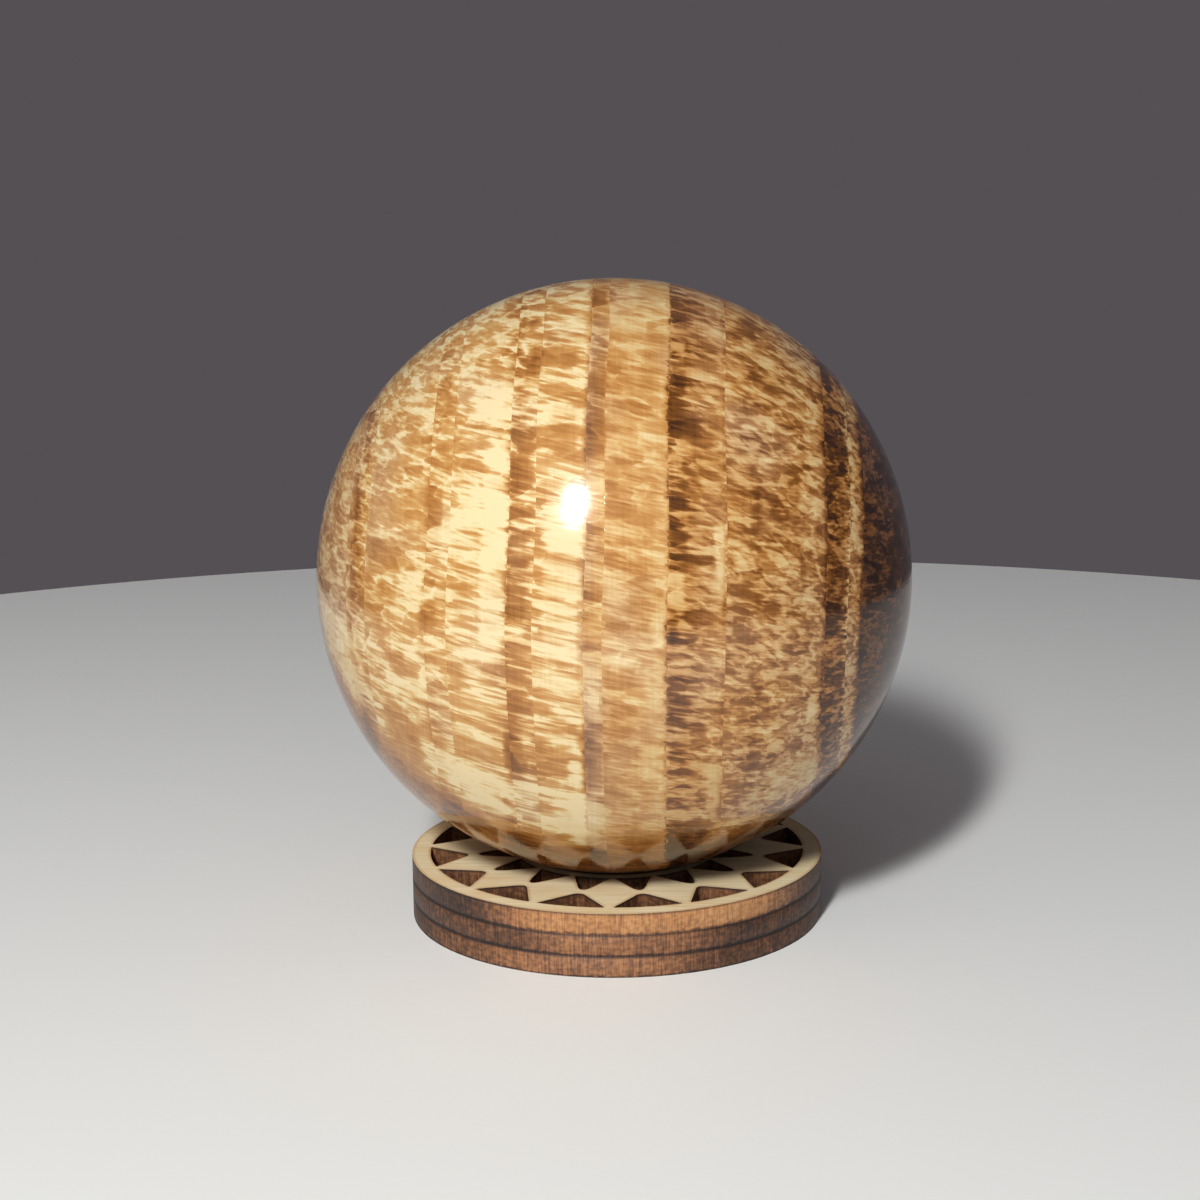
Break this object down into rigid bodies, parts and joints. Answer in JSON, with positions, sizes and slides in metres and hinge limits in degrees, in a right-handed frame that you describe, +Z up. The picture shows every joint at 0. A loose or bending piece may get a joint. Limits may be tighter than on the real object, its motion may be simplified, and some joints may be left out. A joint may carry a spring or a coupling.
{
  "type": "decorative stone sphere on a stand",
  "caption": "Polished banded stone sphere resting in the seat hole of a round pierced plywood stand with a ring of kites.",
  "frame": {"origin": "centre of the stand's underside", "axes": "+Z up through the sphere's centre; one kite of the stand's lattice points along -Y"},
  "size_m": [0.0564, 0.0564, 0.0612],
  "materials": {
    "banded_stone": "polished",
    "plywood": "bare, with scorched cut edges"
  },
  "bodies": {
    "root": {"sphere": "banded_stone", "stand": "plywood"}
  },
  "joints": []
}
